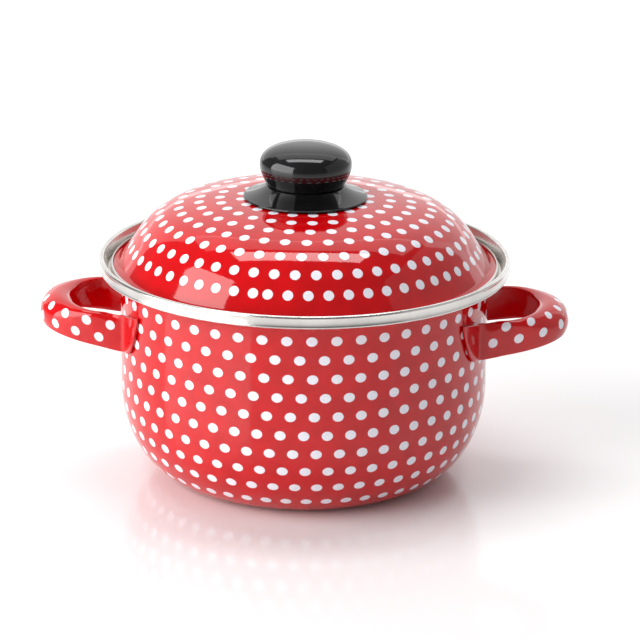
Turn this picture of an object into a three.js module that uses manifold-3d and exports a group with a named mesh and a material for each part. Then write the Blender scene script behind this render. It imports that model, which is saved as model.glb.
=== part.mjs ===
// A domed enamelled steel casserole: pot, lift-off lid, two pressed loop handles and a screwed-on knob.
// Millimetres, +Z up. The origin is the centre of the base, on the surface that the pot stands on.
// The handles lie along X. Every round piece is turned about the Z axis.
import * as THREE from "three";
import { mergeVertices } from "three/addons/utils/BufferGeometryUtils.js";
import Module from "manifold-3d";

const wasm = await Module();
wasm.setup();

// ---- Driving dimensions ----

// Pot
const potHeight = 116.5; // base to the top of the rim
const wallRadius = 95; // outside of the straight wall
const potSheet = 1.1; // enamelled sheet steel
const baseRadius = 60; // outer edge of the ring that the pot stands on
const baseRingWidth = 9;
const baseRecess = 1.2; // how far the middle of the base is pressed up
const recessSlope = 4; // width of the step between the ring and the recess
const bottomRise = 49.5; // height of the rounded lower wall
const flareRadius = 3.2; // where the wall turns out under the ledge
const lipCorner = 1.4; // outside radius where the ledge turns up

// Rim band of the pot
const rimOverhang = 11; // band's outside beyond the wall
const rimHeight = 6.3;
const rimSheet = 0.5; // its rounded top is as wide as the folded sheet and the lip inside it
const rimHollow = 0.3; // how far the band's face dips between its beads
const rimBead = 0.9; // radius of the bead at the lower edge
const rimHem = 0.8; // flat turned under the lower edge
const seatDepth = 7; // rim top down to the ledge that carries the lid
const seatTaper = 1.9; // how far the band's inside leans in towards the ledge

// Lid
const lidPlay = 1.4; // between the lid and the inside of the rim, at the ledge
const lidSheet = 1.1;
const lidRise = 30.5; // rim top up to the lid's flat crown
const crownFlat = 28; // radius of the flat under the knob
const crownRadius = 150; // gentle curve of the crown
const crownTurn = 13.5; // degrees that the crown curves through
const shoulderRadius = 40;
const shoulderEnd = 56; // slope of the lid's side, degrees
const sideFillet = 4.5; // between the side and the flange

// Band round the lid's edge
const trimHeight = 3.2;
const trimSheet = 0.5;
const trimCorner = 1;
const trimUnder = 2.6; // width of its lower leg
const trimOver = 1.1; // width of its upper leg

// Handles
const handleReach = 137; // pot's axis to the outermost point
const handleWidth = 66; // across the two arms, at the pot
const handleSheet = 1.5;
const handleDrop = 24.8; // rim top down to the handle's top edge, at the pot
const handleLift = 3; // top edge's rise from the pot to the outermost point
const armHeight = 19.8; // at the pot
const tipHeight = 15.4; // at the outermost point
const loopSquareness = 2.3; // 2 is an ellipse, more is squarer
const rollStart = 0.25; // share of the loop's length over which the roll closes up
const gripStart = 0.3; // and where it begins to widen into the grip
const rollTurn = 125; // degrees that the top edge is rolled through
const armRoll = 2.6; // radius of the roll along the arms
const tipRoll = 10; // and at the outermost point
const edgeTuck = 1.5; // how far the lower edge is tucked in
const footSpread = 50; // half the width across the outer corners of the feet
const footRise = 3.5; // outer corner of a foot above the handle's top edge
const footTip = 2; // height of a foot's outer edge
const footCurve = 2.5; // how late a foot's lower edge climbs, 1 is a straight line
const foldRadius = 3; // between a foot and its arm

// Knob and skirt
const knobRadius = 23.7;
const knobNeck = 20.2;
const knobTaper = 10.3; // foot of the knob up to its widest level
const knobDome = 10.9; // widest level up to the top
const knobSquareness = 2.4;
const knobSwell = 1.2; // how late the flank swells out, 1 is a plain curve
const skirtRadius = 31.9;
const skirtHeight = 7.2; // lid's crown to the knob's foot
const skirtEdge = 1.2; // thickness of the skirt's edge
const skirtLift = 0.4; // skirt's edge above the crown
const skirtBendOut = 0.3; // where the curve from the neck to the edge bends, as a share of its width
const skirtBendUp = 0.45; // and of its height
const skirtSeatInner = 15;
const skirtSeatOuter = 21;
const skirtSeatSlope = 1; // width of the slope round the outside of its seat

// Fastening
const screwRadius = 2.5;
const screwReach = 13; // thread inside the insert
const screwPoint = 0.8; // chamfer at its tip
const screwHeadRadius = 4.9;
const screwHeadHeight = 2.9;
const screwHeadCorner = 1;
const slotWidth = 1.2;
const slotDepth = 1.5;
const insertRadius = 5.6;
const insertLength = 15;
const insertWaist = 0.8; // depth of the groove that keeps the insert in the knob
const insertGroove = 6; // width of that groove
const insertGrooveSlope = 1.5; // width of each of its sloping sides
const washerRadius = 8.5;
const washerThickness = 1;
const sealRadius = 9.5;
const sealThickness = 1.6;

// Clearances
const seatGap = 0.3; // between pieces that rest on or are fixed to each other
const bandGap = 0.25; // between a folded band and the edge inside it
const threadGap = 0.3;
const holeGap = 0.6; // round the screw where it passes through

// Facets
const turnSteps = 40; // round the pot and the lid
const knobSteps = 32;
const smallSteps = 20;

// ---- Materials ----

function finish(color, roughness, metalness) {
  return new THREE.MeshStandardMaterial({ color, roughness, metalness });
}

const redEnamel = finish(0xc4040c, 0.12, 0);
const stainless = finish(0xc9c7c2, 0.28, 1);
const blackPhenolic = finish(0x0b0b0d, 0.14, 0);
const brass = finish(0xb08d4a, 0.4, 1);
const zincSteel = finish(0xb4b7ba, 0.35, 1);
const silicone = finish(0xb9b4a8, 0.7, 0);

// ---- Shared construction ----

const pot = new THREE.Group();

function add(name, geometry, material) {
  const mesh = new THREE.Mesh(geometry, material);
  mesh.name = name;
  pot.add(mesh);
  return mesh;
}

function at(radius, height) {
  return new THREE.Vector2(radius, height);
}

function radians(degrees) {
  return (degrees * Math.PI) / 180;
}

// Points on an elliptical arc about (x, y), between two angles in degrees, both ends included.
function arc(x, y, radiusX, radiusY, from, to, steps) {
  return Array.from({ length: steps + 1 }, (_, i) => {
    const angle = radians(from + ((to - from) * i) / steps);
    return at(x + radiusX * Math.cos(angle), y + radiusY * Math.sin(angle));
  });
}

// Points behind a face, one thickness to the left of the way it is drawn.
function behind(face, thickness) {
  return face.map((point, i) => {
    const before = face[Math.max(i - 1, 0)];
    const after = face[Math.min(i + 1, face.length - 1)];
    const along = new THREE.Vector2().subVectors(after, before).normalize();
    return at(point.x - along.y * thickness, point.y + along.x * thickness);
  });
}

// A closed outline turned about Z, drawn anticlockwise with the axis on its left.
function turned(outline, steps) {
  return new THREE.LatheGeometry(outline, steps).rotateX(Math.PI / 2);
}

// A sheet turned about Z: its outer face is given, and its back lies one thickness behind.
function turnedSheet(face, thickness, steps) {
  const outline = [...face, ...behind(face, thickness).reverse()];
  if (face[0].x > 0) outline.push(face[0]);
  return turned(outline, steps);
}

// A flat ring with square edges.
function ring(inner, outer, low, high) {
  const outline = [at(inner, low), at(outer, low), at(outer, high), at(inner, high), at(inner, low)];
  return turned(outline, smallSteps);
}

// A strip that bends evenly to the left through an angle as it rises from (0, 0).
function bentStrip(length, turn, steps) {
  return Array.from({ length: steps + 1 }, (_, i) => {
    const share = i / steps;
    if (turn === 0) return at(0, length * share);
    const radius = length / turn;
    return at(radius * (Math.cos(turn * share) - 1), radius * Math.sin(turn * share));
  });
}

// A sheet that follows a row of stations. Each gives its face and its back as matching rows of points.
function loftedSheet(stations) {
  const rows = stations[0].face.length;
  const loop = rows * 2;
  const positions = stations.flatMap(({ face, back }) => [...face, ...[...back].reverse()]);
  const index = [];
  const quad = (a, b, c, d) => index.push(a, b, c, a, c, d);
  for (let i = 0; i < stations.length - 1; i++) {
    for (let j = 0; j < loop; j++) {
      const next = (j + 1) % loop;
      quad(i * loop + j, i * loop + next, (i + 1) * loop + next, (i + 1) * loop + j);
    }
  }
  const last = (stations.length - 1) * loop;
  for (let j = 0; j < rows - 1; j++) {
    const back = loop - 1 - j;
    quad(j, back, back - 1, j + 1);
    quad(last + j, last + j + 1, last + back - 1, last + back);
  }
  const geometry = new THREE.BufferGeometry().setFromPoints(positions);
  return geometry.setIndex(index);
}

function solidOf(geometry) {
  const bare = geometry.clone();
  bare.deleteAttribute("normal");
  bare.deleteAttribute("uv");
  const merged = mergeVertices(bare, 1e-3);
  return new wasm.Manifold(
    new wasm.Mesh({
      numProp: 3,
      vertProperties: merged.attributes.position.array,
      triVerts: new Uint32Array(merged.index.array),
    }),
  );
}

function geometryOf(solid) {
  const mesh = solid.getMesh();
  return new THREE.BufferGeometry()
    .setAttribute("position", new THREE.BufferAttribute(mesh.vertProperties, 3))
    .setIndex(new THREE.BufferAttribute(mesh.triVerts, 1));
}

// ---- Pot ----

const rimRadius = wallRadius + rimOverhang;
const rimRoll = potSheet + 2 * (rimSheet + bandGap);
const seatLevel = potHeight - seatDepth;
const lipTopRadius = rimRadius - rimSheet - bandGap;
const seatRadius = rimRadius - rimRoll - seatTaper; // inside of the band, at the ledge
const lipFootRadius = seatRadius + rimSheet + bandGap + potSheet;

function potShell() {
  const underLedge = seatLevel - potSheet;
  const face = [
    at(0, baseRecess),
    at(baseRadius - baseRingWidth - recessSlope, baseRecess),
    at(baseRadius - baseRingWidth, 0),
    ...arc(baseRadius, bottomRise, wallRadius - baseRadius, bottomRise, -90, 0, 9),
    ...arc(wallRadius + flareRadius, underLedge - flareRadius, flareRadius, flareRadius, 180, 90, 3),
    ...arc(lipFootRadius - lipCorner, underLedge + lipCorner, lipCorner, lipCorner, -90, 0, 2),
    at(lipTopRadius, potHeight - rimRoll / 2),
  ];
  return turnedSheet(face, potSheet, turnSteps);
}

function potRimBand() {
  const rollRadius = rimRoll / 2;
  const foot = potHeight - rimHeight;
  const beadCentre = rimRadius - rimBead;
  const rollLevel = potHeight - rollRadius;
  const face = [
    at(beadCentre - rimHem, foot),
    ...arc(beadCentre, foot + rimBead, rimBead, rimBead, -90, 0, 2),
    at(rimRadius - rimHollow, (foot + rimBead + rollLevel) / 2),
    ...arc(rimRadius - rollRadius, rollLevel, rollRadius, rollRadius, 0, 180, 6),
    at(seatRadius, seatLevel + 2 * seatGap),
  ];
  return turnedSheet(face, rimSheet, turnSteps);
}

// ---- Lid ----

const lidRadius = seatRadius - lidPlay;
const trimFoot = seatLevel + seatGap;
const crownLevel = potHeight + lidRise;
const flangeTop = trimFoot + (trimHeight + lidSheet) / 2; // the flange is centred in its band
const screwHole = screwRadius + holeGap;

function lidShell() {
  const crownEnd = crownFlat + crownRadius * Math.sin(radians(crownTurn));
  const crownDrop = crownRadius * (1 - Math.cos(radians(crownTurn)));
  const shoulderX = crownEnd - shoulderRadius * Math.sin(radians(crownTurn));
  const shoulderY = crownLevel - crownDrop - shoulderRadius * Math.cos(radians(crownTurn));
  const slope = radians(shoulderEnd);
  const sideTop = at(
    shoulderX + shoulderRadius * Math.sin(slope),
    shoulderY + shoulderRadius * Math.cos(slope),
  );
  const filletY = flangeTop + sideFillet;
  // The fillet's centre is one radius outside the sloping side.
  const sideFoot = sideTop.y - filletY + sideFillet * Math.cos(slope);
  const filletX = sideTop.x + sideFoot / Math.tan(slope) + sideFillet * Math.sin(slope);
  const face = [
    at(lidRadius - trimSheet - bandGap, flangeTop),
    ...arc(filletX, filletY, sideFillet, sideFillet, -90, -90 - shoulderEnd, 3),
    ...arc(shoulderX, shoulderY, shoulderRadius, shoulderRadius, 90 - shoulderEnd, 90 - crownTurn, 5),
    ...arc(crownFlat, crownLevel - crownRadius, crownRadius, crownRadius, 90 - crownTurn, 90, 4).slice(1),
    at(screwHole, crownLevel),
  ];
  return turnedSheet(face, lidSheet, turnSteps);
}

function lidRimBand() {
  const cornerX = lidRadius - trimCorner;
  const top = trimFoot + trimHeight;
  const face = [
    at(lidRadius - trimUnder, trimFoot),
    ...arc(cornerX, trimFoot + trimCorner, trimCorner, trimCorner, -90, 0, 2),
    ...arc(cornerX, top - trimCorner, trimCorner, trimCorner, 0, 90, 2),
    at(lidRadius - trimOver, top),
  ];
  return turnedSheet(face, trimSheet, turnSteps);
}

// ---- Handles ----

// One handle is a pressed strap: two feet on the wall, two arms, and an end that widens into a grip.
// It is drawn on the +X side, from the middle of the grip to the -Y foot, and mirrored.
function handle() {
  const half = handleWidth / 2;
  const top = potHeight - handleDrop;
  const footRadius = wallRadius + seatGap + handleSheet;
  const foldX = Math.sqrt((footRadius + foldRadius) ** 2 - (half + foldRadius) ** 2);
  const foldAngle = THREE.MathUtils.radToDeg(Math.atan2(half + foldRadius, foldX));
  const footAngle = THREE.MathUtils.radToDeg(Math.asin(footSpread / footRadius));
  const loopLength = handleReach - foldX;
  const webSteps = 4;
  const stripSteps = 5;

  // A station: a place on the outer face, the way that face looks, and the strap's section there.
  const station = (x, y, lookX, lookY, section) => {
    const { high, low, tuck, rollLength, turn } = section;
    const roll = bentStrip(rollLength, turn, stripSteps);
    const webTop = high - Math.max(...roll.map((point) => point.y));
    const web = Array.from({ length: webSteps }, (_, i) => {
      const share = i / webSteps;
      return at(-tuck * (1 - share) ** 2, low + (webTop - low) * share);
    });
    const profile = [...web, ...roll.map((point) => at(point.x, point.y + webTop))];
    const place = ({ x: out, y: level }) => new THREE.Vector3(x + lookX * out, y + lookY * out, level);
    return { face: profile.map(place), back: behind(profile, handleSheet).map(place) };
  };

  // The strap's section, from 0 at the fold to 1 at the outermost point.
  const strap = (share) => {
    const grip = THREE.MathUtils.smoothstep(share, gripStart, 1);
    const begun = Math.min(1, share / rollStart);
    const high = top + handleLift * share;
    return {
      high,
      low: high - armHeight + (armHeight - tipHeight) * share,
      tuck: edgeTuck * begun,
      rollLength: radians(rollTurn) * (armRoll + (tipRoll - armRoll) * grip),
      turn: radians(rollTurn) * begun,
    };
  };

  const stations = [];
  const loopSteps = 11;
  for (let i = 0; i < loopSteps; i++) {
    const angle = radians(90 * (1 - i / loopSteps));
    const across = Math.cos(angle) ** (2 / loopSquareness);
    const outward = Math.sin(angle) ** (2 / loopSquareness);
    const lookX = outward ** (loopSquareness - 1) / loopLength;
    const lookY = across ** (loopSquareness - 1) / half;
    const size = Math.hypot(lookX, lookY);
    const x = foldX + loopLength * outward;
    stations.push(station(x, -half * across, lookX / size, -lookY / size, strap(outward)));
  }
  const foldSteps = 3;
  for (let i = 0; i <= foldSteps; i++) {
    const turn = radians(90 + ((foldAngle - 90) * i) / foldSteps);
    const lookX = Math.cos(turn);
    const lookY = -Math.sin(turn);
    const x = foldX - foldRadius * lookX;
    const y = -half - foldRadius - foldRadius * lookY;
    stations.push(station(x, y, lookX, lookY, strap(0)));
  }
  const footSteps = 3;
  for (let i = 1; i <= footSteps; i++) {
    const share = i / footSteps;
    const turn = radians(foldAngle + (footAngle - foldAngle) * share);
    const lookX = Math.cos(turn);
    const lookY = -Math.sin(turn);
    const high = top + footRise * share;
    const low = top - armHeight + (armHeight + footRise - footTip) * share ** footCurve;
    const rollLength = Math.min(radians(rollTurn) * armRoll, (high - low) / 2);
    const section = { high, low, tuck: 0, rollLength, turn: 0 };
    stations.push(station(footRadius * lookX, footRadius * lookY, lookX, lookY, section));
  }
  const mirrored = (row) => row.map(({ x, y, z }) => new THREE.Vector3(x, -y, z));
  const otherSide = stations
    .slice(1)
    .map(({ face, back }) => ({ face: mirrored(face), back: mirrored(back) }))
    .reverse();
  return loftedSheet([...otherSide, ...stations]);
}

// ---- Knob, skirt and fastening ----

const skirtSeat = crownLevel + seatGap;
const skirtTop = crownLevel + skirtHeight;
const knobFoot = skirtTop + seatGap;

function knobSkirt() {
  const edgeLow = crownLevel + skirtLift;
  const edgeHigh = edgeLow + skirtEdge;
  const edgeRound = skirtEdge / 2;
  const edgeX = skirtRadius - edgeRound;
  const bendX = knobNeck + (edgeX - knobNeck) * skirtBendOut;
  const bend = at(bendX, edgeHigh + (skirtTop - edgeHigh) * skirtBendUp);
  const flare = new THREE.QuadraticBezierCurve(at(edgeX, edgeHigh), bend, at(knobNeck, skirtTop));
  const outline = [
    at(screwHole, skirtSeat + seatGap),
    at(skirtSeatInner, skirtSeat + seatGap),
    at(skirtSeatInner, skirtSeat),
    at(skirtSeatOuter, skirtSeat),
    at(skirtSeatOuter + skirtSeatSlope, edgeLow),
    ...arc(edgeX, edgeLow + edgeRound, edgeRound, edgeRound, -90, 90, 4),
    ...flare.getPoints(6).slice(1),
    at(screwHole, skirtTop),
    at(screwHole, skirtSeat + seatGap),
  ];
  return turned(outline, knobSteps);
}

function knob() {
  const widest = knobFoot + knobTaper;
  const bore = insertRadius + seatGap;
  const boreTop = knobFoot + insertLength + 2 * seatGap;
  const domeSteps = 8;
  const dome = Array.from({ length: domeSteps + 1 }, (_, i) => {
    const angle = radians((90 * i) / domeSteps);
    const radius = knobRadius * Math.cos(angle) ** (2 / knobSquareness);
    return at(i < domeSteps ? radius : 0, widest + knobDome * Math.sin(angle) ** (2 / knobSquareness));
  });
  const flankSteps = 5;
  const flank = Array.from({ length: flankSteps }, (_, i) => {
    const share = i / flankSteps;
    const swell = Math.sin(radians(90 * share)) ** knobSwell;
    return at(knobNeck + (knobRadius - knobNeck) * swell, knobFoot + knobTaper * share);
  });
  const outline = [at(0, boreTop), at(bore, boreTop), at(bore, knobFoot), ...flank, ...dome];
  return turned(outline, knobSteps);
}

function knobInsert() {
  const low = knobFoot + seatGap;
  const high = low + insertLength;
  const bore = screwRadius + threadGap;
  const waist = insertRadius - insertWaist;
  const boreTop = low + screwReach + threadGap;
  const grooveLow = (low + high - insertGroove) / 2;
  const grooveHigh = (low + high + insertGroove) / 2;
  const outline = [
    at(0, boreTop),
    at(bore, boreTop),
    at(bore, low),
    at(insertRadius, low),
    at(insertRadius, grooveLow),
    at(waist, grooveLow + insertGrooveSlope),
    at(waist, grooveHigh - insertGrooveSlope),
    at(insertRadius, grooveHigh),
    at(insertRadius, high),
    at(0, high),
  ];
  return turned(outline, smallSteps);
}

const sealTop = crownLevel - lidSheet - seatGap;
const washerTop = sealTop - sealThickness - seatGap;
const headTop = washerTop - washerThickness - seatGap;

function knobScrew() {
  const tip = knobFoot + seatGap + screwReach - threadGap;
  const foot = headTop - screwHeadHeight;
  const outline = [
    at(0, foot),
    ...arc(screwHeadRadius - screwHeadCorner, foot + screwHeadCorner, screwHeadCorner, screwHeadCorner, -90, 0, 3),
    at(screwHeadRadius, headTop),
    at(screwRadius, headTop),
    at(screwRadius, tip - screwPoint),
    at(screwRadius - screwPoint, tip),
    at(0, tip),
  ];
  const slot = new THREE.BoxGeometry(3 * screwHeadRadius, slotWidth, 2 * slotDepth);
  slot.translate(0, 0, foot);
  return geometryOf(solidOf(turned(outline, smallSteps)).subtract(solidOf(slot)));
}

// ---- Assembly ----

add("pot_shell", potShell(), redEnamel);
add("pot_rim_band", potRimBand(), stainless);
add("right_handle", handle(), redEnamel);
add("left_handle", handle(), redEnamel).rotation.z = Math.PI;
add("lid_shell", lidShell(), redEnamel);
add("lid_rim_band", lidRimBand(), stainless);
add("knob_skirt", knobSkirt(), blackPhenolic);
add("knob", knob(), blackPhenolic);
add("knob_insert", knobInsert(), brass);
add("knob_screw", knobScrew(), zincSteel);
add("screw_washer", ring(screwHole, washerRadius, washerTop - washerThickness, washerTop), zincSteel);
add("seal_washer", ring(screwHole, sealRadius, sealTop - sealThickness, sealTop), silicone);

export default pot;
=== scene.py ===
import math

import bmesh
import bpy
from mathutils import Matrix, Vector


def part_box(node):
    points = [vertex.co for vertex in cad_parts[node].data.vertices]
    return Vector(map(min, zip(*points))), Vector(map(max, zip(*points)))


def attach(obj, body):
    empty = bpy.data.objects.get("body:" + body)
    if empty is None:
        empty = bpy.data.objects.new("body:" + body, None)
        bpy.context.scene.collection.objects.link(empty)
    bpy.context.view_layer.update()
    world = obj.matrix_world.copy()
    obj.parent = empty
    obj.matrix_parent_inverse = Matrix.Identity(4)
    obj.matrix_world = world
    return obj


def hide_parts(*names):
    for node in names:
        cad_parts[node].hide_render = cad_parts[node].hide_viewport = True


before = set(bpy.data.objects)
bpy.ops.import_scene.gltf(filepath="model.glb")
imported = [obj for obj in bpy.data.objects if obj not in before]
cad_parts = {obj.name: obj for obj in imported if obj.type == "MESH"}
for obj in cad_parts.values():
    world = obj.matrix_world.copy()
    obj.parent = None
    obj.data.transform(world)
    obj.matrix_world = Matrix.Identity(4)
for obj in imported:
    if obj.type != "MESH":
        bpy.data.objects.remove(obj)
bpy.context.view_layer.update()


scene = bpy.context.scene

# ---- Sizes, in metres, as in the CAD part ----

# Pot
RIM_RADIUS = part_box("pot_rim_band")[1].x
RIM_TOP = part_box("pot_rim_band")[1].z
RIM_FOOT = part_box("pot_rim_band")[0].z
WALL_RADIUS = 0.095
SHEET = 0.0011
BASE_RADIUS = 0.060
BASE_RING = 0.009
BASE_RECESS = 0.0012
RECESS_SLOPE = 0.004
BOTTOM_RISE = 0.0495
FLARE_RADIUS = 0.0032
LIP_CORNER = 0.0014
BAND_SHEET = 0.0005
RIM_HOLLOW = 0.0003
RIM_BEAD = 0.0009
RIM_HEM = 0.0008
SEAT_DEPTH = 0.007
SEAT_TAPER = 0.0019
BAND_GAP = 0.00025
RIM_ROLL = SHEET + 2 * (BAND_SHEET + BAND_GAP)
SEAT_GAP = 0.0003
SEAT_LEVEL = RIM_TOP - SEAT_DEPTH
SEAT_RADIUS = RIM_RADIUS - RIM_ROLL - SEAT_TAPER
LIP_TOP_RADIUS = RIM_RADIUS - BAND_SHEET - BAND_GAP
LIP_FOOT_RADIUS = SEAT_RADIUS + BAND_SHEET + BAND_GAP + SHEET

# Lid
CROWN_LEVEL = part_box("lid_shell")[1].z
LID_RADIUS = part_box("lid_rim_band")[1].x
TRIM_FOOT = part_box("lid_rim_band")[0].z
TRIM_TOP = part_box("lid_rim_band")[1].z
CROWN_FLAT = 0.028
CROWN_RADIUS = 0.150
CROWN_TURN = 13.5
SHOULDER_RADIUS = 0.040
SHOULDER_END = 56
SIDE_FILLET = 0.0045
TRIM_CORNER = 0.001
TRIM_UNDER = 0.0026
TRIM_OVER = 0.0011
FLANGE_TOP = (TRIM_FOOT + TRIM_TOP + SHEET) / 2

# Handles
HANDLE_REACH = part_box("right_handle")[1].x
HANDLE_HALF = 0.033
HANDLE_SHEET = 0.0015
HANDLE_TOP = RIM_TOP - 0.0248
HANDLE_LIFT = 0.003
ARM_HEIGHT = 0.0198
TIP_HEIGHT = 0.0154
LOOP_SQUARENESS = 2.3
ROLL_START = 0.25
GRIP_START = 0.3
ROLL_TURN = math.radians(125)
ARM_ROLL = 0.0026
TIP_ROLL = 0.010
EDGE_TUCK = 0.0015
FOOT_SPREAD = 0.050
FOOT_RISE = 0.0035
FOOT_TIP = 0.002
FOOT_CURVE = 2.5
FOLD_RADIUS = 0.003

# Knob and fastening
KNOB_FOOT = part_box("knob")[0].z
KNOB_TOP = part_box("knob")[1].z
KNOB_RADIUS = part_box("knob")[1].x
KNOB_NECK = 0.0202
KNOB_TAPER = 0.0103
KNOB_SQUARENESS = 2.4
SKIRT_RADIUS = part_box("knob_skirt")[1].x
SKIRT_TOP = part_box("knob_skirt")[1].z
SKIRT_EDGE = 0.0012
SKIRT_LIFT = 0.0004
SKIRT_BEND_OUT = 0.3
SKIRT_BEND_UP = 0.45
SKIRT_SEAT_INNER = 0.015
SKIRT_SEAT_OUTER = 0.021
SCREW_RADIUS = 0.0025
SCREW_HEAD_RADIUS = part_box("knob_screw")[1].x
SCREW_HEAD_HEIGHT = 0.0029
SCREW_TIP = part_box("knob_screw")[1].z
SCREW_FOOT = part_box("knob_screw")[0].z
SLOT_WIDTH = 0.0012
SLOT_DEPTH = 0.0015
SCREW_HOLE = 0.0031

# Dots on the pot: even rows, each turned a little over half a step on from the row above, angles in degrees
POT_DOT = 0.00243
POT_DOT_OVAL = 0.87
POT_ROW_COUNT = 10
POT_FIRST_ROW = 0.0164
POT_ROW_STEP = 0.0099
POT_DOTS_ROUND = 48
POT_MORE_ROUND = 0.5
POT_MOST_ROUND = 50.5
POT_ROW_START = 4.6
POT_ROW_TURN = 3.85

# Dots on the lid: rings an even step apart along its face, each with six dots more than the ring inside it
LID_DOT = 0.00262
LID_RING_COUNT = 7
LID_FIRST_RING = 0.0332
LID_RING_STEP = 0.0108
LID_FIRST_DOTS = 20
LID_MORE_DOTS = 6
LID_RING_START = 9.0
LID_RING_TURN = -2.0
LID_SEAM_STEP = 4.8

# Dots on the handles: two staggered rows. The step, the lower row's height and its first dot differ a little
STRAP_DOT = 0.0025
STRAP_ROW_RISE = 0.0078
STRAP_DOTS_END = 0.0625
RIGHT_STRAP_DOTS = (0.0139, 0.0086, 0.0030)
LEFT_STRAP_DOTS = (0.0130, 0.0058, 0.0)


# ---- Shapes ----

POT_STEPS = 160
KNOB_STEPS = 128
SHARP_ANGLE = 38


def arc(x, y, radius_x, radius_y, start, end, steps):
    points = []
    for i in range(steps + 1):
        angle = math.radians(start + (end - start) * i / steps)
        points.append((x + radius_x * math.cos(angle), y + radius_y * math.sin(angle)))
    return points


def line(start, end, steps):
    """Points from start to end, without the end."""
    return [
        (start[0] + (end[0] - start[0]) * i / steps, start[1] + (end[1] - start[1]) * i / steps)
        for i in range(steps)
    ]


def behind(face, thickness):
    """Points one thickness to the left of the way the face is drawn."""
    back = []
    for i, point in enumerate(face):
        before = Vector(face[max(i - 1, 0)])
        after = Vector(face[min(i + 1, len(face) - 1)])
        along = (after - before).normalized()
        back.append((point[0] - along.y * thickness, point[1] + along.x * thickness))
    return back


def sheet_outline(face, thickness):
    """Outline of a sheet whose outer face is given. A face that starts on the axis stays open there."""
    outline = face + behind(face, thickness)[::-1]
    outline = [(max(x, 0.0), z) for x, z in outline]
    if face[0][0] > 0:
        outline.append(face[0])
    return outline


def gap_to(path, x, z):
    """Distance from (x, z) to a row of points."""
    here = Vector((x, z))
    nearest = 1.0
    for start, end in zip(path, path[1:]):
        a = Vector(start)
        along = Vector(end) - a
        share = max(0.0, min(1.0, (here - a).dot(along) / max(along.length_squared, 1e-12)))
        nearest = min(nearest, (here - a - along * share).length)
    return nearest


def level_at(path, radius):
    """Height of a row of points where it crosses a radius."""
    for (x0, z0), (x1, z1) in zip(path, path[1:]):
        if min(x0, x1) <= radius <= max(x0, x1) and x0 != x1:
            return z0 + (z1 - z0) * (radius - x0) / (x1 - x0)
    raise ValueError("the profile doesn't reach that radius")


def radius_at(path, level):
    """Radius of a row of points where it crosses a height."""
    return level_at([(z, x) for x, z in path], level)


def finished(name, bm, materials):
    """Turns a bmesh into a shaded object in the scene."""
    bmesh.ops.remove_doubles(bm, verts=bm.verts, dist=1e-6)
    bmesh.ops.recalc_face_normals(bm, faces=bm.faces)
    mesh = bpy.data.meshes.new(name)
    bm.to_mesh(mesh)
    bm.free()
    for material in materials:
        mesh.materials.append(material)
    mesh.shade_smooth()
    mesh.set_sharp_from_angle(angle=math.radians(SHARP_ANGLE))
    piece = bpy.data.objects.new(name, mesh)
    scene.collection.objects.link(piece)
    return piece


def spun(name, outline, steps, materials, inner=None, outer=None):
    """An outline turned about Z. Faces nearer to the inner path than the outer take the second material."""
    bm = bmesh.new()
    row = [bm.verts.new((x, 0, z)) for x, z in outline]
    edges = [bm.edges.new(pair) for pair in zip(row, row[1:])]
    bmesh.ops.spin(
        bm, geom=row + edges, cent=(0, 0, 0), axis=(0, 0, 1), dvec=(0, 0, 0),
        angle=math.tau, steps=steps, use_merge=True,
    )
    if inner:
        known = {}
        for face in bm.faces:
            centre = face.calc_center_median()
            spot = (round(math.hypot(centre.x, centre.y), 5), round(centre.z, 5))
            if spot not in known:
                known[spot] = gap_to(inner, *spot) < gap_to(outer, *spot)
            face.material_index = int(known[spot])
    return finished(name, bm, materials)


def placed(piece, body, slot, *nodes):
    """Hangs a piece on the body that it moves with and hides the CAD nodes that it stands for. The slot, its
    finish, is not used.
    """
    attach(piece, body)
    if nodes:
        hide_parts(*nodes)
    return piece


def pot_face():
    under_ledge = SEAT_LEVEL - SHEET
    recess_edge = (BASE_RADIUS - BASE_RING - RECESS_SLOPE, BASE_RECESS)
    ring_edge = (BASE_RADIUS - BASE_RING, 0)
    wall_foot = (WALL_RADIUS, BOTTOM_RISE)
    wall_top = (WALL_RADIUS, under_ledge - FLARE_RADIUS)
    return [
        *line((0, BASE_RECESS), recess_edge, 8),
        *line(recess_edge, ring_edge, 4),
        *line(ring_edge, (BASE_RADIUS, 0), 3),
        *arc(BASE_RADIUS, BOTTOM_RISE, WALL_RADIUS - BASE_RADIUS, BOTTOM_RISE, -90, 0, 36)[:-1],
        *line(wall_foot, wall_top, 12),
        *arc(WALL_RADIUS + FLARE_RADIUS, wall_top[1], FLARE_RADIUS, FLARE_RADIUS, 180, 90, 10),
        *arc(LIP_FOOT_RADIUS - LIP_CORNER, under_ledge + LIP_CORNER, LIP_CORNER, LIP_CORNER, -90, 0, 6),
        (LIP_TOP_RADIUS, RIM_TOP - RIM_ROLL / 2),
    ]


def rim_band_face():
    roll = RIM_ROLL / 2
    bead_centre = RIM_RADIUS - RIM_BEAD
    roll_level = RIM_TOP - roll
    bead_top = RIM_FOOT + RIM_BEAD
    hollow = []
    for i in range(1, 12):
        share = i / 12
        dip = RIM_HOLLOW * math.sin(math.pi * share) ** 0.5
        hollow.append((RIM_RADIUS - dip, bead_top + (roll_level - bead_top) * share))
    return [
        (bead_centre - RIM_HEM, RIM_FOOT),
        *arc(bead_centre, bead_top, RIM_BEAD, RIM_BEAD, -90, 0, 8),
        *hollow,
        *arc(RIM_RADIUS - roll, roll_level, roll, roll, 0, 180, 16),
        (SEAT_RADIUS, SEAT_LEVEL + 2 * SEAT_GAP),
    ]


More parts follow.
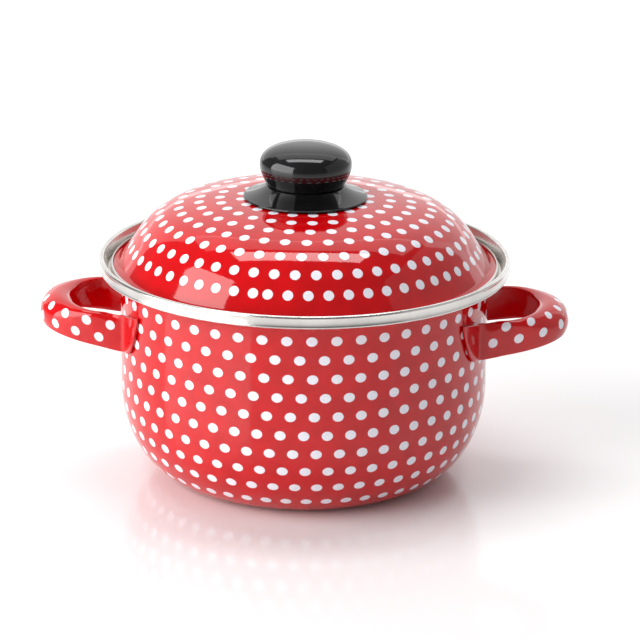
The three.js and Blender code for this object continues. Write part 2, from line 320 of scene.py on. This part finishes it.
def lid_face():
    turn = math.radians(CROWN_TURN)
    slope = math.radians(SHOULDER_END)
    shoulder_x = CROWN_FLAT + (CROWN_RADIUS - SHOULDER_RADIUS) * math.sin(turn)
    shoulder_z = CROWN_LEVEL - CROWN_RADIUS + (CROWN_RADIUS - SHOULDER_RADIUS) * math.cos(turn)
    side_top = (
        shoulder_x + SHOULDER_RADIUS * math.sin(slope),
        shoulder_z + SHOULDER_RADIUS * math.cos(slope),
    )
    fillet_z = FLANGE_TOP + SIDE_FILLET
    fall = side_top[1] - fillet_z + SIDE_FILLET * math.cos(slope)
    fillet_x = side_top[0] + fall / math.tan(slope) + SIDE_FILLET * math.sin(slope)
    return [
        (LID_RADIUS - BAND_SHEET - BAND_GAP, FLANGE_TOP),
        *arc(fillet_x, fillet_z, SIDE_FILLET, SIDE_FILLET, -90, -90 - SHOULDER_END, 10),
        *arc(
            shoulder_x, shoulder_z, SHOULDER_RADIUS, SHOULDER_RADIUS,
            90 - SHOULDER_END, 90 - CROWN_TURN, 24,
        ),
        *arc(
            CROWN_FLAT, CROWN_LEVEL - CROWN_RADIUS, CROWN_RADIUS, CROWN_RADIUS,
            90 - CROWN_TURN, 90, 14,
        )[1:],
        *line((CROWN_FLAT - 0.003, CROWN_LEVEL), (SCREW_HOLE, CROWN_LEVEL), 4),
        (SCREW_HOLE, CROWN_LEVEL),
    ]


def lid_band_face():
    corner = LID_RADIUS - TRIM_CORNER
    return [
        (LID_RADIUS - TRIM_UNDER, TRIM_FOOT),
        *arc(corner, TRIM_FOOT + TRIM_CORNER, TRIM_CORNER, TRIM_CORNER, -90, 0, 8),
        *arc(corner, TRIM_TOP - TRIM_CORNER, TRIM_CORNER, TRIM_CORNER, 0, 90, 8),
        (LID_RADIUS - TRIM_OVER, TRIM_TOP),
    ]


def bent_strip(length, turn, steps):
    """A strip that bends evenly to the left through an angle as it rises from (0, 0)."""
    if turn == 0:
        return [(0.0, length * i / steps) for i in range(steps + 1)]
    radius = length / turn
    return [
        (radius * (math.cos(turn * i / steps) - 1), radius * math.sin(turn * i / steps))
        for i in range(steps + 1)
    ]


WEB_STEPS = 9
STRIP_STEPS = 14


def strap_profile(high, low, tuck, length, turn):
    """The strap's section: a web that rises from the tucked edge, then the rolled strip."""
    strip = bent_strip(length, turn, STRIP_STEPS)
    web_top = high - max(z for _, z in strip)
    web = []
    for i in range(WEB_STEPS):
        share = i / WEB_STEPS
        web.append((-tuck * (1 - share) ** 2, low + (web_top - low) * share))
    return web + [(x, z + web_top) for x, z in strip]


def strap_section(share):
    """Section from 0 at the fold to 1 at the outermost point."""
    grip = max(0.0, min(1.0, (share - GRIP_START) / (1 - GRIP_START)))
    grip = grip * grip * (3 - 2 * grip)
    begun = min(1.0, share / ROLL_START)
    high = HANDLE_TOP + HANDLE_LIFT * share
    low = high - ARM_HEIGHT + (ARM_HEIGHT - TIP_HEIGHT) * share
    length = ROLL_TURN * (ARM_ROLL + (TIP_ROLL - ARM_ROLL) * grip)
    return strap_profile(high, low, EDGE_TUCK * begun, length, ROLL_TURN * begun)


def strap_stations():
    """Rows of points on the +X handle's outer face, from the middle of the grip to the -Y foot."""
    foot_radius = WALL_RADIUS + SEAT_GAP + HANDLE_SHEET
    fold_y = HANDLE_HALF + FOLD_RADIUS
    fold_x = math.sqrt((foot_radius + FOLD_RADIUS) ** 2 - fold_y ** 2)
    fold_angle = math.atan2(fold_y, fold_x)
    foot_angle = math.asin(FOOT_SPREAD / foot_radius)
    reach = HANDLE_REACH - fold_x
    stations = []

    def station(x, y, look_x, look_y, profile):
        stations.append([Vector((x + look_x * out, y + look_y * out, z)) for out, z in profile])

    loop_steps = 44
    for i in range(loop_steps):
        angle = math.pi / 2 * (1 - i / loop_steps)
        across = math.cos(angle) ** (2 / LOOP_SQUARENESS) if i else 0.0
        outward = math.sin(angle) ** (2 / LOOP_SQUARENESS)
        look = Vector((
            outward ** (LOOP_SQUARENESS - 1) / reach,
            across ** (LOOP_SQUARENESS - 1) / HANDLE_HALF,
        )).normalized()
        station(fold_x + reach * outward, -HANDLE_HALF * across, look.x, -look.y, strap_section(outward))
    fold_steps = 8
    for i in range(fold_steps + 1):
        turn = math.pi / 2 + (fold_angle - math.pi / 2) * i / fold_steps
        look_x, look_y = math.cos(turn), -math.sin(turn)
        x, y = fold_x - FOLD_RADIUS * look_x, -fold_y - FOLD_RADIUS * look_y
        station(x, y, look_x, look_y, strap_section(0))
    foot_steps = 8
    for i in range(1, foot_steps + 1):
        share = i / foot_steps
        turn = fold_angle + (foot_angle - fold_angle) * share
        look_x, look_y = math.cos(turn), -math.sin(turn)
        high = HANDLE_TOP + FOOT_RISE * share
        low = HANDLE_TOP - ARM_HEIGHT + (ARM_HEIGHT + FOOT_RISE - FOOT_TIP) * share ** FOOT_CURVE
        length = min(ROLL_TURN * ARM_ROLL, (high - low) / 2)
        flat = strap_profile(high, low, 0, length, 0)
        station(foot_radius * look_x, foot_radius * look_y, look_x, look_y, flat)
    return stations


def strap(name, side, materials):
    """A pressed loop handle, on the +X side for 1 and on the -X side for -1."""
    half = strap_stations()
    mirrored = [[Vector((p.x, -p.y, p.z)) for p in row] for row in half[:0:-1]]
    rows = mirrored + half
    along = [0.0]
    for before, after in zip(rows, rows[1:]):
        along.append(along[-1] + (after[WEB_STEPS] - before[WEB_STEPS]).length)
    middle = along[len(mirrored)]
    bm = bmesh.new()
    marks = bm.loops.layers.uv.new("strap")
    across_steps = len(rows[0]) - 1
    along_steps = len(rows) - 1
    bmesh.ops.create_grid(bm, x_segments=across_steps, y_segments=along_steps, size=1)
    spots = {}
    for vert in bm.verts:
        i = round((vert.co.y + 1) / 2 * along_steps)
        j = round((vert.co.x + 1) / 2 * across_steps)
        row = rows[i]
        climb = sum((b - a).length for a, b in zip(row[:j], row[1:j + 1]))
        spots[vert] = (along[i] - middle, climb)
        vert.co = (row[j].x * side, row[j].y * side, row[j].z)
    for face in bm.faces:
        for loop in face.loops:
            loop[marks].uv = spots[loop.vert]
    outward = Vector((side, 0, 0))
    bmesh.ops.recalc_face_normals(bm, faces=bm.faces)
    tip = max(bm.faces, key=lambda face: face.calc_center_median().x * side)
    if tip.normal.dot(outward) < 0:
        bmesh.ops.reverse_faces(bm, faces=bm.faces)
    mesh = bpy.data.meshes.new(name)
    bm.to_mesh(mesh)
    bm.free()
    for material in materials:
        mesh.materials.append(material)
    mesh.shade_smooth()
    piece = bpy.data.objects.new(name, mesh)
    scene.collection.objects.link(piece)
    sheet = piece.modifiers.new("sheet", "SOLIDIFY")
    sheet.thickness = HANDLE_SHEET
    sheet.offset = -1
    sheet.use_even_offset = True
    sheet.material_offset = 1
    sheet.material_offset_rim = 1
    rounding = piece.modifiers.new("rounding", "SUBSURF")
    rounding.levels = 1
    rounding.render_levels = 1
    return piece


def skirt_outline():
    edge_low = CROWN_LEVEL + SKIRT_LIFT
    edge = SKIRT_EDGE / 2
    edge_high = edge_low + SKIRT_EDGE
    edge_centre = SKIRT_RADIUS - edge
    bend = Vector((
        KNOB_NECK + (edge_centre - KNOB_NECK) * SKIRT_BEND_OUT,
        edge_high + (SKIRT_TOP - edge_high) * SKIRT_BEND_UP,
    ))
    flare = []
    for i in range(1, 24):
        share = i / 24
        low = Vector((edge_centre, edge_high)).lerp(bend, share)
        high = bend.lerp(Vector((KNOB_NECK, SKIRT_TOP)), share)
        flare.append(tuple(low.lerp(high, share)))
    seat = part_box("knob_skirt")[0].z
    return [
        (SCREW_HOLE, seat + SEAT_GAP),
        (SKIRT_SEAT_INNER, seat + SEAT_GAP),
        (SKIRT_SEAT_INNER + 0.0002, seat),
        (SKIRT_SEAT_OUTER, seat),
        (SKIRT_SEAT_OUTER + 0.001, edge_low),
        *line((SKIRT_SEAT_OUTER + 0.002, edge_low), (edge_centre, edge_low), 3),
        *arc(edge_centre, edge_low + edge, edge, edge, -90, 90, 14),
        *flare,
        (KNOB_NECK - 0.0001, SKIRT_TOP - 0.0002),
        (KNOB_NECK - 0.0004, SKIRT_TOP),
        (SCREW_HOLE, SKIRT_TOP),
        (SCREW_HOLE, seat + SEAT_GAP),
    ]


def knob_outline():
    widest = KNOB_FOOT + KNOB_TAPER
    dome_height = KNOB_TOP - widest
    dome_steps = 36
    dome = []
    for i in range(dome_steps):
        angle = math.pi / 2 * i / dome_steps
        dome.append((
            KNOB_RADIUS * math.cos(angle) ** (2 / KNOB_SQUARENESS),
            widest + dome_height * math.sin(angle) ** (2 / KNOB_SQUARENESS),
        ))
    dome.append((0, KNOB_TOP))
    flank_steps = 14
    flank = []
    for i in range(flank_steps):
        share = i / flank_steps
        swell = math.sin(math.pi / 2 * share) ** 1.2
        flank.append((KNOB_NECK + (KNOB_RADIUS - KNOB_NECK) * swell, KNOB_FOOT + KNOB_TAPER * share))
    flank[0] = (KNOB_NECK - 0.0003, KNOB_FOOT)
    flank.insert(1, (KNOB_NECK, KNOB_FOOT + 0.0003))
    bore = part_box("knob_insert")[1].x + SEAT_GAP
    bore_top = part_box("knob_insert")[1].z + SEAT_GAP
    return [(0, bore_top), (bore, bore_top), (bore, KNOB_FOOT), *flank, *dome]


def washer(name, node, materials):
    """A flat ring with softened edges, in the place of a CAD ring."""
    low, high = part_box(node)
    soft = 0.00015
    outline = [
        (SCREW_HOLE, low.z),
        (high.x - soft, low.z),
        *arc(high.x - soft, low.z + soft, soft, soft, -90, 0, 3),
        *arc(high.x - soft, high.z - soft, soft, soft, 0, 90, 3),
        (SCREW_HOLE, high.z),
        (SCREW_HOLE, low.z),
    ]
    return spun(name, outline, 64, materials)


def screw(name, materials):
    """A slotted cheese-head screw, head down."""
    head_top = SCREW_FOOT + SCREW_HEAD_HEIGHT
    corner = 0.001
    thread = []
    pitch = 0.0008
    level = head_top + pitch
    while level < SCREW_TIP - 0.0016:
        thread.append((SCREW_RADIUS, level))
        thread.append((SCREW_RADIUS - 0.0004, level + pitch / 2))
        level += pitch
    outline = [
        (0, SCREW_FOOT),
        *arc(SCREW_HEAD_RADIUS - corner, SCREW_FOOT + corner, corner, corner, -90, 0, 8),
        (SCREW_HEAD_RADIUS, head_top),
        (SCREW_RADIUS, head_top),
        *thread,
        (SCREW_RADIUS - 0.0008, SCREW_TIP),
        (0, SCREW_TIP),
    ]
    piece = spun(name, outline, 48, materials)
    bm = bmesh.new()
    bmesh.ops.create_cube(bm, size=1)
    bmesh.ops.scale(bm, verts=bm.verts, vec=(3 * SCREW_HEAD_RADIUS, SLOT_WIDTH, 2 * SLOT_DEPTH))
    bmesh.ops.translate(bm, verts=bm.verts, vec=(0, 0, SCREW_FOOT))
    cutter = finished("slot_cutter", bm, [])
    cut = piece.modifiers.new("slot", "BOOLEAN")
    cut.operation = "DIFFERENCE"
    cut.solver = "EXACT"
    cut.object = cutter
    bpy.context.view_layer.update()
    seen = piece.evaluated_get(bpy.context.evaluated_depsgraph_get())
    cut_mesh = bpy.data.meshes.new_from_object(seen)
    piece.modifiers.clear()
    piece.data = cut_mesh
    bpy.data.objects.remove(cutter)
    cut_mesh.set_sharp_from_angle(angle=math.radians(SHARP_ANGLE))
    return piece


# ---- Materials ----

class Graph:
    """A node tree, with short ways to add nodes and join them."""

    def __init__(self, tree):
        self.tree = tree

    def node(self, kind, **settings):
        made = self.tree.nodes.new(kind)
        for key, value in settings.items():
            setattr(made, key, value)
        return made

    def put(self, socket, value):
        """Joins a socket to another one, or gives it a constant."""
        if isinstance(value, bpy.types.NodeSocket):
            self.tree.links.new(value, socket)
        else:
            socket.default_value = value

    def math(self, operation, *values):
        made = self.node("ShaderNodeMath", operation=operation)
        for socket, value in zip(made.inputs, values):
            self.put(socket, value)
        return made.outputs[0]

    def ramp(self, value, low, high, to_low, to_high, kind="SMOOTHSTEP"):
        made = self.node("ShaderNodeMapRange", interpolation_type=kind)
        for name, given in (
            ("Value", value), ("From Min", low), ("From Max", high), ("To Min", to_low), ("To Max", to_high),
        ):
            self.put(made.inputs[name], given)
        return made.outputs["Result"]

    def noise(self, vector, scale, detail=2.0, roughness=0.5):
        made = self.node("ShaderNodeTexNoise")
        self.put(made.inputs["Vector"], vector)
        made.inputs["Scale"].default_value = scale
        made.inputs["Detail"].default_value = detail
        made.inputs["Roughness"].default_value = roughness
        return made.outputs["Fac"]

    def stretched(self, vector, x, y, z):
        made = self.node("ShaderNodeVectorMath", operation="MULTIPLY")
        self.put(made.inputs[0], vector)
        made.inputs[1].default_value = (x, y, z)
        return made.outputs[0]

    def mix(self, share, first, second):
        made = self.node("ShaderNodeMix", data_type="RGBA")
        self.put(made.inputs[0], share)
        self.put(made.inputs[6], first)
        self.put(made.inputs[7], second)
        return made.outputs[2]

    def bump(self, height, depth, before=None):
        """Relief whose full height is depth metres."""
        made = self.node("ShaderNodeBump")
        made.inputs["Strength"].default_value = 1.0
        made.inputs["Distance"].default_value = depth
        self.put(made.inputs["Height"], height)
        if before is not None:
            self.put(made.inputs["Normal"], before)
        return made.outputs["Normal"]


def material(name):
    """A new material, its graph and its surface node."""
    made = bpy.data.materials.new(name)
    made.use_nodes = True
    made.node_tree.nodes.clear()
    graph = Graph(made.node_tree)
    surface = graph.node("ShaderNodeBsdfPrincipled")
    output = graph.node("ShaderNodeOutputMaterial")
    graph.put(output.inputs["Surface"], surface.outputs[0])
    return made, graph, surface


def dot_row_group():
    """Distance from a point on a round piece to the nearest dot of one row round it."""
    tree = bpy.data.node_groups.new("dot_row", "ShaderNodeTree")
    names = ("Angle", "Radius", "Height", "Row Radius", "Row Height", "Start", "Pitch", "Shift", "Oval")
    for name in names:
        tree.interface.new_socket(name, in_out="INPUT", socket_type="NodeSocketFloat")
    tree.interface.new_socket("Distance", in_out="OUTPUT", socket_type="NodeSocketFloat")
    graph = Graph(tree)
    given = graph.node("NodeGroupInput").outputs
    turned = graph.math("SUBTRACT", given["Angle"], given["Start"])
    turned = graph.math("FLOORED_MODULO", turned, math.tau)
    cell = graph.math("DIVIDE", turned, given["Pitch"])
    cell = graph.math("ADD", cell, given["Shift"])
    cell = graph.math("SUBTRACT", graph.math("FRACT", cell), 0.5)
    across = graph.math("MULTIPLY", cell, given["Pitch"])
    across = graph.math("MULTIPLY", across, given["Radius"])
    across = graph.math("MULTIPLY", across, given["Oval"])
    out = graph.math("SUBTRACT", given["Radius"], given["Row Radius"])
    up = graph.math("SUBTRACT", given["Height"], given["Row Height"])
    joined = graph.node("ShaderNodeCombineXYZ")
    graph.put(joined.inputs[0], across)
    graph.put(joined.inputs[1], out)
    graph.put(joined.inputs[2], up)
    length = graph.node("ShaderNodeVectorMath", operation="LENGTH")
    graph.put(length.inputs[0], joined.outputs[0])
    graph.put(graph.node("NodeGroupOutput").inputs["Distance"], length.outputs["Value"])
    return tree


DOT_ROW = dot_row_group()


def round_dots(graph, place, rows, oval):
    """Distance to the nearest dot of all rows. A row is its radius, height, start, pitch and shift."""
    parts = graph.node("ShaderNodeSeparateXYZ")
    graph.put(parts.inputs[0], place)
    x, y, z = parts.outputs
    angle = graph.math("ARCTAN2", x, graph.math("MULTIPLY", y, -1.0))
    squares = graph.math("ADD", graph.math("MULTIPLY", x, x), graph.math("MULTIPLY", y, y))
    radius = graph.math("SQRT", squares)
    nearest = None
    for row_radius, row_height, start, pitch, shift in rows:
        row = graph.node("ShaderNodeGroup", node_tree=DOT_ROW)
        for name, value in (
            ("Angle", angle), ("Radius", radius), ("Height", z), ("Row Radius", row_radius),
            ("Row Height", row_height), ("Start", start), ("Pitch", pitch), ("Shift", shift), ("Oval", oval),
        ):
            graph.put(row.inputs[name], value)
        distance = row.outputs[0]
        nearest = distance if nearest is None else graph.math("MINIMUM", nearest, distance)
    return nearest


def strap_dots(graph, step, low, start):
    """Distance to the nearest dot on a strap, from its own marks. The folds and feet have none."""
    marks = graph.node("ShaderNodeUVMap", uv_map="strap")
    parts = graph.node("ShaderNodeSeparateXYZ")
    graph.put(parts.inputs[0], marks.outputs[0])
    along, climb, _ = parts.outputs
    nearest = None
    for level, first in ((low, start), (low + STRAP_ROW_RISE, start + step / 2)):
        cell = graph.math("DIVIDE", graph.math("SUBTRACT", along, first), step)
        whole = graph.math("ROUND", cell)
        middle = graph.math("ADD", graph.math("MULTIPLY", whole, step), first)
        across = graph.math("SUBTRACT", along, middle)
        up = graph.math("SUBTRACT", climb, level)
        squares = graph.math("ADD", graph.math("MULTIPLY", across, across), graph.math("MULTIPLY", up, up))
        distance = graph.math("SQRT", squares)
        outside = graph.math("GREATER_THAN", graph.math("ABSOLUTE", middle), STRAP_DOTS_END)
        distance = graph.math("ADD", distance, outside)
        nearest = distance if nearest is None else graph.math("MINIMUM", nearest, distance)
    return nearest


def place_of(graph):
    """A point in the piece's own space, in metres."""
    return graph.node("ShaderNodeTexCoord").outputs["Object"]


RED = (0.57, 0.0010, 0.0032, 1)
DEEP_RED = (0.50, 0.0008, 0.0026, 1)
DOT_WHITE = (0.86, 0.86, 0.93, 1)
DOT_GREY = (0.74, 0.73, 0.80, 1)


def enamel(name, find_dots=None, dot_radius=0.0):
    """Glossy red enamel, fired on in a slightly uneven coat, with white dots where a finder is given."""
    made, graph, surface = material(name)
    place = place_of(graph)
    mottle = graph.ramp(graph.noise(place, 90, 3), 0.35, 0.65, 0.0, 1.0)
    color = graph.mix(mottle, RED, DEEP_RED)
    peel = graph.noise(place, 160, 2)
    normal = graph.bump(peel, 0.00002)
    wave = graph.noise(place, 14, 1)
    normal = graph.bump(wave, 0.0001, normal)
    if find_dots:
        distance = find_dots(graph, place)
        wobble = graph.ramp(graph.noise(place, 900, 1), 0.0, 1.0, -0.00008, 0.00008, "LINEAR")
        edge = graph.math("ADD", distance, wobble)
        inside = graph.ramp(edge, dot_radius - 0.00012, dot_radius + 0.00012, 1.0, 0.0)
        grain = graph.ramp(graph.noise(place, 2600, 2), 0.42, 0.68, 0.0, 1.0)
        color = graph.mix(inside, color, graph.mix(grain, DOT_WHITE, DOT_GREY))
        normal = graph.bump(inside, 0.00003, normal)
    graph.put(surface.inputs["Base Color"], color)
    haze = graph.ramp(graph.noise(place, 26, 4, 0.6), 0.3, 0.75, 0.035, 0.075)
    graph.put(surface.inputs["Roughness"], haze)
    surface.inputs["IOR"].default_value = 1.52
    graph.put(surface.inputs["Normal"], normal)
    return made


def lining(name):
    """Cream enamel of the inside, with the faint speckle of a fired coat."""
    made, graph, surface = material(name)
    place = place_of(graph)
    cloud = graph.ramp(graph.noise(place, 30, 3), 0.3, 0.7, 0.0, 1.0)
    color = graph.mix(cloud, (0.83, 0.80, 0.72, 1), (0.79, 0.75, 0.66, 1))
    speck = graph.ramp(graph.noise(place, 1500, 1), 0.74, 0.80, 0.0, 0.5)
    color = graph.mix(speck, color, (0.45, 0.40, 0.33, 1))
    graph.put(surface.inputs["Base Color"], color)
    graph.put(surface.inputs["Roughness"], graph.ramp(graph.noise(place, 40, 3), 0.3, 0.7, 0.06, 0.14))
    graph.put(surface.inputs["Normal"], graph.bump(graph.noise(place, 120, 2), 0.00002))
    return made


def spun_steel(name):
    """Stainless strip, spun onto the edge: fine lines run round it."""
    made, graph, surface = material(name)
    place = place_of(graph)
    lines = graph.noise(graph.stretched(place, 6, 6, 2600), 1.0, 3, 0.6)
    stains = graph.noise(place, 60, 3)
    color = graph.mix(graph.ramp(stains, 0.35, 0.7, 0.0, 1.0), (0.72, 0.70, 0.67, 1), (0.63, 0.61, 0.585, 1))
    graph.put(surface.inputs["Base Color"], color)
    surface.inputs["Metallic"].default_value = 1.0
    graph.put(surface.inputs["Roughness"], graph.ramp(lines, 0.3, 0.7, 0.13, 0.24))
    graph.put(surface.inputs["Normal"], graph.bump(lines, 0.000012))
    return made


def phenolic(name):
    """Polished black moulding with faint rubbing marks."""
    made, graph, surface = material(name)
    place = place_of(graph)
    rubbed = graph.noise(place, 55, 4, 0.6)
    fine = graph.noise(graph.stretched(place, 900, 900, 250), 1.0, 2)
    worn = graph.ramp(rubbed, 0.4, 0.7, 0.0, 1.0)
    color = graph.mix(worn, (0.0045, 0.0045, 0.005, 1), (0.009, 0.009, 0.010, 1))
    graph.put(surface.inputs["Base Color"], color)
    haze = graph.ramp(rubbed, 0.3, 0.75, 0.05, 0.11)
    scratches = graph.ramp(fine, 0.5, 0.8, 0.0, 0.04)
    graph.put(surface.inputs["Roughness"], graph.math("ADD", haze, scratches))
    surface.inputs["IOR"].default_value = 1.5
    wave = graph.bump(graph.noise(place, 18, 1), 0.00006)
    graph.put(surface.inputs["Normal"], graph.bump(fine, 0.000004, wave))
    return made


def plain_metal(name, bright, dull, low, high):
    """Turned or plated metal, with fine marks and a little dulling."""
    made, graph, surface = material(name)
    place = place_of(graph)
    dulled = graph.noise(place, 220, 3)
    graph.put(surface.inputs["Base Color"], graph.mix(graph.ramp(dulled, 0.35, 0.7, 0.0, 1.0), bright, dull))
    surface.inputs["Metallic"].default_value = 1.0
    graph.put(surface.inputs["Roughness"], graph.ramp(dulled, 0.3, 0.7, low, high))
    marks = graph.noise(graph.stretched(place, 300, 300, 4000), 1.0, 2)
    graph.put(surface.inputs["Normal"], graph.bump(marks, 0.000008))
    return made


def rubber(name):
    """Matt silicone with a faint dusting."""
    made, graph, surface = material(name)
    place = place_of(graph)
    dust = graph.ramp(graph.noise(place, 400, 4), 0.4, 0.7, 0.0, 1.0)
    graph.put(surface.inputs["Base Color"], graph.mix(dust, (0.50, 0.48, 0.43, 1), (0.57, 0.55, 0.51, 1)))
    graph.put(surface.inputs["Roughness"], graph.ramp(dust, 0.0, 1.0, 0.5, 0.7))
    graph.put(surface.inputs["Normal"], graph.bump(graph.noise(place, 1200, 2), 0.00001))
    return made


POT_FACE = pot_face()
LID_FACE = lid_face()


def dot_row(radius, height, first, step, count):
    """A row for round_dots, measured from the middle of its closing step, which may be short or long."""
    closing = 360 - (count - 1) * step
    return radius, height, math.radians(first - closing / 2), math.radians(step), 0.5 - closing / 2 / step


def pot_dot_rows():
    """The pot's rows. Each closes at the back."""
    outer = [point for point in POT_FACE if point[0] >= BASE_RADIUS]
    rows = []
    for i in range(POT_ROW_COUNT):
        per_turn = min(POT_DOTS_ROUND + POT_MORE_ROUND * i, POT_MOST_ROUND)
        step = 360 / per_turn
        count = int(per_turn)
        closing = 360 - (count - 1) * step
        front = POT_ROW_START + POT_ROW_TURN * i
        first = front - step * math.floor((front + 180 - closing / 2) / step)
        height = RIM_TOP - POT_FIRST_ROW - POT_ROW_STEP * i
        rows.append(dot_row(radius_at(outer, height), height, first, step, count))
    return rows


def ring_places():
    """Radius and height of the lid's rings, an even step apart along its face."""
    here = Vector((LID_FIRST_RING, level_at(LID_FACE, LID_FIRST_RING)))
    places = [here]
    left = LID_RING_STEP
    for point in LID_FACE[::-1]:
        if point[0] <= LID_FIRST_RING:
            continue
        ahead = Vector(point)
        while (ahead - here).length >= left and len(places) < LID_RING_COUNT:
            here = here + (ahead - here).normalized() * left
            places.append(here)
            left = LID_RING_STEP
        left -= (ahead - here).length
        here = ahead
    return places


def lid_dot_rows():
    """The lid's rings. Only the outermost closes with a short step."""
    rows = []
    for i, (radius, height) in enumerate(ring_places()):
        count = LID_FIRST_DOTS + LID_MORE_DOTS * i
        outermost = i == LID_RING_COUNT - 1
        step = (360 - LID_SEAM_STEP) / (count - 1) if outermost else 360 / count
        first = LID_RING_START + LID_RING_TURN * i - step
        rows.append(dot_row(radius, height, first, step, count))
    return rows


pot_red = enamel("pot_enamel", lambda g, p: round_dots(g, p, pot_dot_rows(), POT_DOT_OVAL), POT_DOT)
lid_red = enamel("lid_enamel", lambda g, p: round_dots(g, p, lid_dot_rows(), 1.0), LID_DOT)
right_strap_red = enamel("right_handle_enamel", lambda g, p: strap_dots(g, *RIGHT_STRAP_DOTS), STRAP_DOT)
left_strap_red = enamel("left_handle_enamel", lambda g, p: strap_dots(g, *LEFT_STRAP_DOTS), STRAP_DOT)
plain_red = enamel("plain_enamel")
cream = lining("cream_lining")
steel = spun_steel("rim_steel")
black = phenolic("knob_black")
brass = plain_metal("insert_brass", (0.62, 0.45, 0.2, 1), (0.5, 0.35, 0.15, 1), 0.25, 0.4)
zinc = plain_metal("screw_zinc", (0.68, 0.69, 0.7, 1), (0.58, 0.6, 0.62, 1), 0.2, 0.38)
silicone = rubber("seal_silicone")

# ---- The object ----

pot_back = behind(POT_FACE, SHEET)
placed(
    spun("pot_body", sheet_outline(POT_FACE, SHEET), POT_STEPS, [pot_red, cream], pot_back, POT_FACE),
    "pot", "red_enamel", "pot_shell",
)
placed(
    spun("rim_band", sheet_outline(rim_band_face(), BAND_SHEET), POT_STEPS, [steel]),
    "pot", "stainless_band", "pot_rim_band",
)
placed(strap("handle_right", 1, [right_strap_red, plain_red]), "pot", "red_enamel", "right_handle")
placed(strap("handle_left", -1, [left_strap_red, plain_red]), "pot", "red_enamel", "left_handle")
lid_back = behind(LID_FACE, SHEET)
placed(
    spun("lid_dome", sheet_outline(LID_FACE, SHEET), POT_STEPS, [lid_red, cream], lid_back, LID_FACE),
    "lid", "red_enamel", "lid_shell",
)
placed(
    spun("lid_band", sheet_outline(lid_band_face(), BAND_SHEET), POT_STEPS, [steel]),
    "lid", "stainless_band", "lid_rim_band",
)
placed(spun("skirt", skirt_outline(), KNOB_STEPS, [black]), "lid", "black_phenolic", "knob_skirt")
placed(spun("knob_grip", knob_outline(), KNOB_STEPS, [black]), "lid", "black_phenolic", "knob")
placed(screw("knob_bolt", [zinc]), "lid", "plated_steel", "knob_screw")
placed(washer("flat_washer", "screw_washer", [zinc]), "lid", "plated_steel", "screw_washer")
placed(washer("soft_washer", "seal_washer", [silicone]), "lid", "silicone_seal", "seal_washer")
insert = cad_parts["knob_insert"]
insert.data.materials.clear()
insert.data.materials.append(brass)

# ---- Studio ----

scene.view_settings.view_transform = "Standard"

FLOOR_GAP = 0.0002
floor_mesh = bpy.data.meshes.new("floor")
bm = bmesh.new()
bmesh.ops.create_circle(bm, cap_ends=True, segments=96, radius=5.0)
bm.to_mesh(floor_mesh)
bm.free()
floor = bpy.data.objects.new("floor", floor_mesh)
floor.location.z = -FLOOR_GAP
scene.collection.objects.link(floor)
floor_white, graph, surface = material("studio_floor")
place = place_of(graph)
cloud = graph.noise(place, 3, 2)
graph.put(surface.inputs["Base Color"], graph.mix(cloud, (0.93, 0.93, 0.93, 1), (0.95, 0.95, 0.95, 1)))
graph.put(surface.inputs["Roughness"], graph.ramp(cloud, 0.2, 0.8, 0.07, 0.12))
surface.inputs["IOR"].default_value = 1.4
floor_mesh.materials.append(floor_white)


def panel(name, place, target, width, height, radiance):
    """A soft light panel aimed at a point. Its brightness is given, whatever its size."""
    light = bpy.data.lights.new(name, "AREA")
    light.shape = "RECTANGLE"
    light.size = width
    light.size_y = height
    light.energy = radiance * math.pi * width * height
    lamp = bpy.data.objects.new(name, light)
    lamp.location = place
    lamp.rotation_euler = (Vector(target) - Vector(place)).to_track_quat("-Z", "Y").to_euler()
    lamp.visible_camera = False
    scene.collection.objects.link(lamp)


# Each panel: place, point that it faces, width, height, brightness
CEILING = 2.3
panel("left_panel", (-1.40, -0.78, 0.83), (0, 0, 0.83), 1.92, 1.62, 5.0)
panel("right_panel", (1.78, 0.25, 1.02), (0, 0, 1.02), 3.2, 2.0, 0.35)
panel("back_panel", (0, 2.0, 1.4), (0, 0, 1.4), 4.4, 2.1, 0.9)
panel("horizon_panel", (0, 3.4, 0.35), (0, 0, 0.35), 6.0, 0.7, 0.9)
panel("ceiling_panel", (0, 1.38, CEILING), (0, 1.38, 0), 3.2, 1.2, 1.1)
panel("ceiling_strip", (-0.095, 0.28, CEILING), (-0.095, 0.28, 0), 1.93, 0.60, 6.0)

world = scene.world or bpy.data.worlds.new("studio")
scene.world = world
world.use_nodes = True
world.node_tree.nodes.clear()
graph = Graph(world.node_tree)
surround = graph.node("ShaderNodeBackground")
surround.inputs["Color"].default_value = (0.22, 0.22, 0.225, 1)
graph.put(graph.node("ShaderNodeOutputWorld").inputs["Surface"], surround.outputs[0])

# ---- Camera ----

DISTANCE = 1.9
AIM_RIGHT = 0.0086
AIM_DOWN = 0.0338
ELEVATION = math.radians(16.9)
AZIMUTH = math.radians(2.2)
ROLL = math.radians(0.72)
LENS = 207
rim_centre = Vector((0, 0, RIM_TOP))
toward = Vector((
    math.sin(AZIMUTH) * math.cos(ELEVATION),
    -math.cos(AZIMUTH) * math.cos(ELEVATION),
    math.sin(ELEVATION),
))
up = Vector((0, math.sin(ELEVATION), math.cos(ELEVATION)))
camera_data = bpy.data.cameras.new("camera")
camera_data.lens = LENS
camera_data.sensor_width = 36
camera_data.clip_end = 100
camera = bpy.data.objects.new("camera", camera_data)
camera.location = rim_centre + toward * DISTANCE
aim = rim_centre + Vector((AIM_RIGHT, 0, 0)) - up * AIM_DOWN
facing = (aim - camera.location).to_track_quat("-Z", "Y").to_matrix()
camera.rotation_euler = (facing @ Matrix.Rotation(ROLL, 3, "Z")).to_euler()
scene.collection.objects.link(camera)
scene.camera = camera
